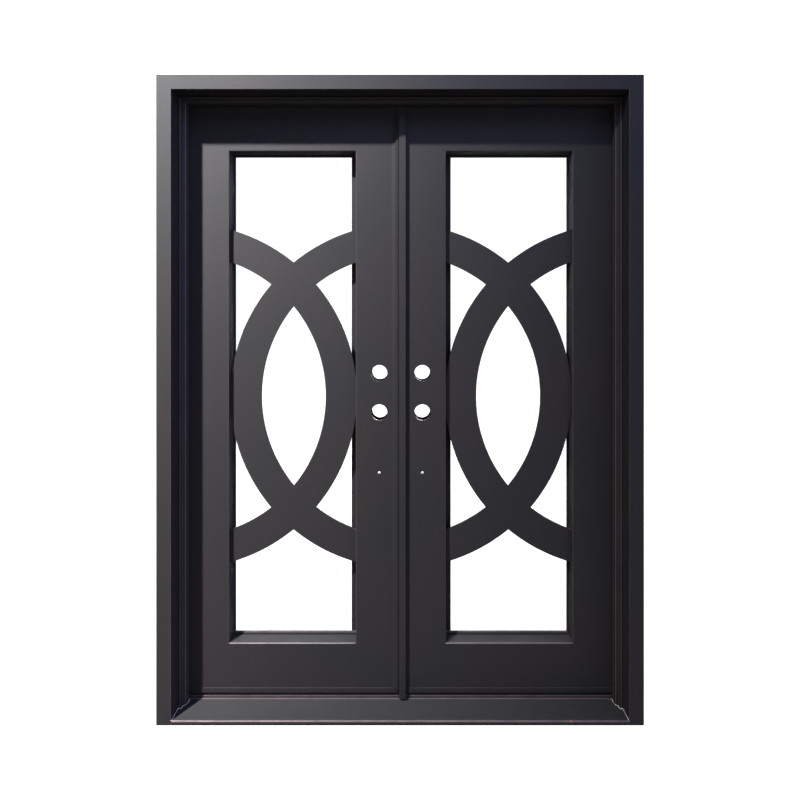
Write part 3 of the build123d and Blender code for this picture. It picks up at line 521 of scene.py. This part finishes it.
def screw_tree():
    """A low round head at each point, facing along the point's own direction.

    The two bars of its cross are raised by the head's whole height, so taking them away cuts no recess
    and the head stays a plain disc.
    """
    tree, given = tree_with("cross_screws", ("Head", "Height"))
    half, slot_length, slot_width = (
        add(tree, "ShaderNodeMath", {0: given["Head"], 1: share}, "Value", operation="MULTIPLY")
        for share in (0.5, 0.56, 0.13))
    cut = add(tree, "GeometryNodeMeshCylinder", {
        "Vertices": 24, "Radius": half, "Depth": given["Height"]}, "Mesh")
    lift = add(tree, "ShaderNodeCombineXYZ", {"Z": given["Height"]}, "Vector")
    for first, second in (("X", "Y"), ("Y", "X")):
        box_size = add(tree, "ShaderNodeCombineXYZ", {
            first: slot_length, second: slot_width, "Z": given["Height"]}, "Vector")
        bar = add(tree, "GeometryNodeMeshCube", {"Size": box_size}, "Mesh")
        raised = add(tree, "GeometryNodeTransform", {"Geometry": bar, "Translation": lift}, "Geometry")
        cut = add(tree, "GeometryNodeMeshBoolean", {"Mesh 1": cut, "Mesh 2": raised}, "Mesh",
                  operation="DIFFERENCE")
    facing = add(tree, "GeometryNodeInputNamedAttribute", {"Name": "facing"}, 0, data_type="FLOAT_VECTOR")
    turned = add(tree, "FunctionNodeAlignRotationToVector", {"Vector": facing}, "Rotation", axis="Z")
    placed = add(tree, "GeometryNodeInstanceOnPoints", {
        "Points": given["Geometry"], "Instance": cut, "Rotation": turned}, "Instances")
    end_tree(tree, placed, given["Material"], smooth=False)
    return tree


def stud_tree():
    """The pale domed end of a stud at each point, flatter than it is wide."""
    tree, given = tree_with("pull_studs", ("Width",))
    half = add(tree, "ShaderNodeMath", {0: given["Width"], 1: 0.5}, "Value", operation="MULTIPLY")
    ball = add(tree, "GeometryNodeMeshUVSphere", {"Segments": 32, "Rings": 16, "Radius": half}, "Mesh")
    placed = add(tree, "GeometryNodeInstanceOnPoints", {
        "Points": given["Geometry"], "Instance": ball, "Scale": (1.16, 0.6, 0.86)}, "Instances")
    end_tree(tree, placed, given["Material"])
    return tree


def line_mesh(name, runs, facing=None):
    """A mesh of open runs of points, joined by edges; single points have none."""
    points, edges = [], []
    for run in runs:
        start = len(points)
        points += [Vector(point) for point in run]
        edges += [(start + number, start + number + 1) for number in range(len(run) - 1)]
    mesh = bpy.data.meshes.new(name)
    mesh.from_pydata(points, edges, [])
    if facing:
        layer = mesh.attributes.new("facing", "FLOAT_VECTOR", "POINT")
        for number, direction in enumerate(facing):
            layer.data[number].vector = direction
    return mesh


def grow(name, mesh, tree, values, body):
    """Runs a tree on a mesh, keeps the result as a plain mesh, and lets it ride on a body."""
    piece = bpy.data.objects.new(name, mesh)
    bpy.context.scene.collection.objects.link(piece)
    modifier = piece.modifiers.new(tree.name, "NODES")
    modifier.node_group = tree
    for item in tree.interface.items_tree:
        if item.in_out == "INPUT" and item.name in values:
            modifier[item.identifier] = values[item.name]
    evaluated = piece.evaluated_get(bpy.context.evaluated_depsgraph_get())
    plain = bpy.data.meshes.new_from_object(evaluated)
    piece.modifiers.remove(modifier)
    piece.data = plain
    bpy.data.meshes.remove(mesh)
    if not plain.polygons:
        raise RuntimeError(f"{name} came out empty")
    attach(piece, body)
    return piece


def infill_contacts(side):
    """Where one infill plate meets the sides of its opening: x, which way is inward, lower and upper end."""
    low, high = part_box(f"{side}_infill")
    middle = (low.z + high.z) / 2
    return [(x, inward, middle + start, middle + end) for x, inward in ((low.x, 1), (high.x, -1))
            for start, end in INFILL_SPANS]


class DOOR_OT_weld_infills(bpy.types.Operator):
    """Runs a weld bead behind each end of the infill arcs, and leaves tacks at a few corners in front"""

    bl_idname = "door.weld_infills"
    bl_label = "Weld Infills"

    def execute(self, context):
        sizes = context.scene.door_welds
        paint = enamel("weld_enamel", (1, 1, 1), lambda tree, place: speckle(tree, place, (0.006,) * 3))
        beads, tacks = bead_tree(), tack_tree()
        lap = 1.2 * MM
        for number, (side, _) in enumerate(SIDES):
            carrier = f"{side}_leaf"
            low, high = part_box(f"{side}_infill")
            contacts = infill_contacts(side)
            runs = [[(x + inward * lap, high.y + lap, end) for end in ends] for x, inward, *ends in contacts]
            values = {"Width": sizes.bead_width, "Ripple": sizes.ripple, "Seed": 11 + number,
                      "Material": paint}
            grow(f"{side}_infill_welds", line_mesh("runs", runs), beads, values, carrier)
            right = high.x - lap
            spots = [(right, LEAF_FRONT + lap, SILL), (right, low.y, SILL)]
            if side == "left":
                spots += [(low.x + lap, LEAF_FRONT + lap, SILL), (right, low.y, contacts[-1][3])]
            values = {"Width": sizes.tack, "Seed": 23 + number, "Material": paint}
            grow(f"{side}_weld_tacks", line_mesh("spots", [[spot] for spot in spots]), tacks, values,
                 carrier)
        return {"FINISHED"}


class DOOR_OT_weld_hinges(bpy.types.Operator):
    """Runs weld beads along the tabs of the hinges, on the frame and on the leaves"""

    bl_idname = "door.weld_hinges"
    bl_label = "Weld Hinges"

    def execute(self, context):
        sizes = context.scene.door_welds
        paint = bpy.data.materials["weld_enamel"]
        tree = bpy.data.node_groups["weld_bead"]
        lap = 1 * MM
        for number, (side, way) in enumerate(SIDES):
            values = {"Width": sizes.bead_width, "Ripple": sizes.ripple, "Seed": 31 + number,
                      "Material": paint}
            for part, body, rise in (("frame_knuckles", "frame", 0.0),
                                     ("leaf_knuckles", f"{side}_leaf", LEAF_KNUCKLE_RISE)):
                low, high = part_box(f"{side}_{part}")
                outer, inner = (high.x, low.x) if way > 0 else (low.x, high.x)
                edge = outer + way * lap if body == "frame" else inner - way * lap
                runs = [[(edge, LEAF_BACK + lap, start + rise + along) for along in (0, HINGE_WELD)]
                        for start in HINGE_HEIGHTS]
                grow(f"{side}_{part}_welds", line_mesh("runs", runs), tree, values, body)
        return {"FINISHED"}


class DOOR_OT_fill_mouldings(bpy.types.Operator):
    """Lays a thin strip of filler where the moulding of each jamb stands on the threshold"""

    bl_idname = "door.fill_mouldings"
    bl_label = "Fill Mouldings"

    def execute(self, context):
        sizes = context.scene.door_welds
        material, tree = body_filler("knifed_filler"), bpy.data.node_groups["weld_bead"]
        for number, (side, way) in enumerate(SIDES):
            run = [(way * (REVEAL - along * MM), FRONT + depth * MM, TREAD + 0.3 * MM)
                   for along, depth in MOULDING_FOOT]
            values = {"Width": sizes.filler, "Ripple": sizes.filler_step, "Seed": 41 + number,
                      "Material": material}
            grow(f"{side}_moulding_filler", line_mesh("run", [run]), tree, values, "frame")
        return {"FINISHED"}


def bead_screws(low, high, margin, spacing):
    """Points along the middle of a glazing bead, evenly spaced on each side."""
    left, right, bottom, top = low.x + margin, high.x - margin, low.z + margin, high.z - margin
    across = math.ceil((right - left) / spacing)
    up = math.ceil((top - bottom) / spacing)
    points = [(left + (right - left) * (n + 0.5) / across, z) for z in (bottom, top) for n in range(across)]
    points += [(x, bottom + (top - bottom) * (n + 0.5) / up) for x in (left, right) for n in range(up)]
    return points


class DOOR_OT_drive_screws(bpy.types.Operator):
    """Sets the screws of the glazing beads and strike plates, and the studs for the pulls"""

    bl_idname = "door.drive_screws"
    bl_label = "Drive Screws"

    def execute(self, context):
        sizes = context.scene.door_screws
        steel = plated_steel("screw_steel", (0.0014, 0.0014, 0.0014))
        tree = screw_tree()
        screw_values = {"Head": sizes.head, "Height": sizes.height, "Seed": 0, "Material": steel}
        for side, _ in SIDES:
            low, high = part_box(f"{side}_sash_bead")
            places = [[(x, high.y + sizes.height * 0.3, z)]
                      for x, z in bead_screws(low, high, BEAD_SCREW_MARGIN, sizes.spacing)]
            mesh = line_mesh("places", places, [(0, 1, 0)] * len(places))
            grow(f"{side}_bead_screws", mesh, tree, screw_values, f"{side}_sash")
        studs = stud_tree()
        values = {"Width": sizes.stud, "Seed": 0, "Material": zinc_bloom("stud_zinc")}
        for side, way in SIDES:
            place = (way * PULL_HOLE_ACROSS, LEAF_FRONT + 1.2 * MM, PULL_HOLE_HEIGHT + 1.4 * MM)
            grow(f"{side}_pull_stud", line_mesh("places", [[place]]), studs, values, f"{side}_leaf")
        for strike, end, facing in (("header_strike", 0, -1), ("threshold_strike", 1, 1)):
            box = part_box(strike)
            middle = (box[0] + box[1]) / 2
            z = box[end].z - facing * sizes.height * 0.42
            places = [[(middle.x + shift, middle.y, z)]
                      for shift in (-STRIKE_SCREW_SHIFT, STRIKE_SCREW_SHIFT)]
            mesh = line_mesh("places", places, [(0, 0, facing)] * 2)
            grow(f"{strike}_screws", mesh, tree, screw_values, "frame")
        return {"FINISHED"}


def straight_view(tree):
    """1 for a ray that has met nothing but glass since the camera, and 0 after any bounce."""
    path = add(tree, "ShaderNodeLightPath").outputs
    bounces = add(tree, "ShaderNodeMath", {0: path["Diffuse Depth"], 1: path["Glossy Depth"]}, "Value",
                  operation="ADD")
    return add(tree, "ShaderNodeMath", {0: bounces, 1: 0.5}, "Value", operation="LESS_THAN")


def soft_world(look):
    """Blue-violet light from the right and neutral light from below; straight ahead it is plain white."""
    world = bpy.data.worlds.new("studio_white")
    bpy.context.scene.world = world
    world.use_nodes = True
    tree = world.node_tree
    tree.nodes.clear()
    direction = add(tree, "ShaderNodeSeparateXYZ", {
        "Vector": add(tree, "ShaderNodeTexCoord", out="Generated")}).outputs
    rightward = add(tree, "ShaderNodeMapRange", {
        "Value": direction["X"], "From Min": 0.1, "From Max": 0.8,
        "To Min": 0.06 * look.sky_strength, "To Max": look.sky_strength}, "Result")
    upward = add(tree, "ShaderNodeMapRange", {
        "Value": direction["Z"], "From Min": -0.25, "From Max": -0.05}, "Result")
    sky = add(tree, "ShaderNodeBackground", {"Color": look.sky, "Strength": rightward}, "Background")
    bounce = add(tree, "ShaderNodeBackground", {
        "Color": look.bounce, "Strength": look.bounce_strength}, "Background")
    dim = add(tree, "ShaderNodeMixShader", {0: upward, 1: bounce, 2: sky}, "Shader")
    white = add(tree, "ShaderNodeBackground", {"Color": linear("#ffffff"), "Strength": WHITE}, "Background")
    blend = add(tree, "ShaderNodeMixShader", {0: straight_view(tree), 1: dim, 2: white}, "Shader")
    add(tree, "ShaderNodeOutputWorld", {"Surface": blend})


def pale_floor(look):
    """Pale floor paper, bright enough to melt into the backdrop, though it throws little light on the door."""
    mesh = bpy.data.meshes.new("floor")
    corners = [(x * FLOOR_REACH, y * FLOOR_REACH, 0) for x, y in ((-1, -1), (1, -1), (1, 1), (-1, 1))]
    mesh.from_pydata(corners, [], [(0, 1, 2, 3)])
    floor = bpy.data.objects.new("floor", mesh)
    bpy.context.scene.collection.objects.link(floor)
    material, tree, place = new_material("floor_paper")
    mottle = speckle(tree, place, (0.7, 0.7, 0.7), 3.0, (0.3, 0.7))
    tone = add(tree, "ShaderNodeMix", {"Factor": mottle, "A": look.floor, "B": linear("#f7f7f6")}, "Result",
               data_type="RGBA")
    matt = add(tree, "ShaderNodeBsdfDiffuse", {"Color": look.floor_shade}, "BSDF")
    strength = add(tree, "ShaderNodeMath", {0: straight_view(tree), 1: WHITE}, "Value", operation="MULTIPLY")
    glow = add(tree, "ShaderNodeEmission", {"Color": tone, "Strength": strength}, "Emission")
    add(tree, "ShaderNodeOutputMaterial", {
        "Surface": add(tree, "ShaderNodeAddShader", {0: matt, 1: glow}, "Shader")})
    mesh.materials.append(material)
    floor.visible_diffuse = False
    floor.visible_glossy = False


def light(name, kind, place, target, **settings):
    """A light of a kind at one place, turned towards another; the camera sees none of the wide ones."""
    data = bpy.data.lights.new(name, kind)
    for key, value in settings.items():
        setattr(data, key, value)
    holder = bpy.data.objects.new(name, data)
    holder.location = place
    holder.rotation_euler = (Vector(target) - holder.location).to_track_quat("-Z", "Y").to_euler()
    if kind == "AREA":
        holder.visible_camera = False
        holder.visible_transmission = False
    bpy.context.scene.collection.objects.link(holder)


class DOOR_OT_set_stage(bpy.types.Operator):
    """Sets the floor, the light and the camera"""

    bl_idname = "door.set_stage"
    bl_label = "Set Stage"

    def execute(self, context):
        scene = context.scene
        look = scene.door_stage
        soft_world(look)
        pale_floor(look)
        # Feathered: it aims past the upper left corner, so its light fades down and to the right
        light("lamp", "SPOT", (-2.62, FRONT - 3.0, 6.44), (-3.507, FRONT, 4.24), energy=look.lamp_power,
              color=look.lamp[:3], shadow_soft_size=look.lamp_radius, spot_size=look.lamp_cone,
              spot_blend=1.0)
        light("fill", "AREA", (1.4, 3.4, 3.0), (0, 0, 1.0), energy=look.fill_power, size=2.5)
        light("top", "AREA", (0.2, FRONT - 0.9, 3.0), (0.1, FRONT, 1.6), energy=look.top_power,
              color=look.sky[:3], shape="RECTANGLE", size=1.6, size_y=0.8)
        camera_data = bpy.data.cameras.new("camera")
        camera_data.sensor_width = SENSOR_WIDTH
        camera_data.lens = FOCAL_LENGTH * SENSOR_WIDTH / PICTURE_WIDTH
        camera_data.shift_x, camera_data.shift_y = CAMERA_SHIFT
        camera = bpy.data.objects.new("camera", camera_data)
        camera.location = CAMERA_PLACE
        camera.rotation_euler = (math.radians(90), 0, 0)
        scene.collection.objects.link(camera)
        scene.camera = camera
        scene.view_settings.view_transform = "Standard"
        return {"FINISHED"}


STEPS = (DOOR_OT_paint_frame, DOOR_OT_paint_leaves, DOOR_OT_finish_glazing, DOOR_OT_finish_hardware,
         DOOR_OT_weld_infills, DOOR_OT_weld_hinges, DOOR_OT_fill_mouldings, DOOR_OT_drive_screws,
         DOOR_OT_set_stage)


class DOOR_PT_steps(bpy.types.Panel):
    """Lists the steps and the settings in the sidebar"""

    bl_idname = "DOOR_PT_steps"
    bl_label = "Iron Front Door"
    bl_space_type = "VIEW_3D"
    bl_region_type = "UI"
    bl_category = "Iron Door"

    def draw(self, context):
        for group in GROUPS:
            settings = getattr(context.scene, group)
            for name in settings.bl_rna.properties.keys():
                if name not in ("rna_type", "name"):
                    self.layout.prop(settings, name)
        for step in STEPS:
            self.layout.operator(step.bl_idname)


GROUPS = {"door_finish": FinishSettings, "door_welds": WeldSettings, "door_screws": ScrewSettings,
          "door_stage": StageSettings}
CLASSES = (*GROUPS.values(), *STEPS, DOOR_PT_steps)


def register():
    for one in CLASSES:
        bpy.utils.register_class(one)
    for name, group in GROUPS.items():
        setattr(bpy.types.Scene, name, bpy.props.PointerProperty(type=group))


def unregister():
    for name in GROUPS:
        delattr(bpy.types.Scene, name)
    for one in reversed(CLASSES):
        bpy.utils.unregister_class(one)


def main():
    register()
    for step in STEPS:
        group, name = step.bl_idname.split(".")
        getattr(getattr(bpy.ops, group), name)()


if __name__ == "__main__":
    main()
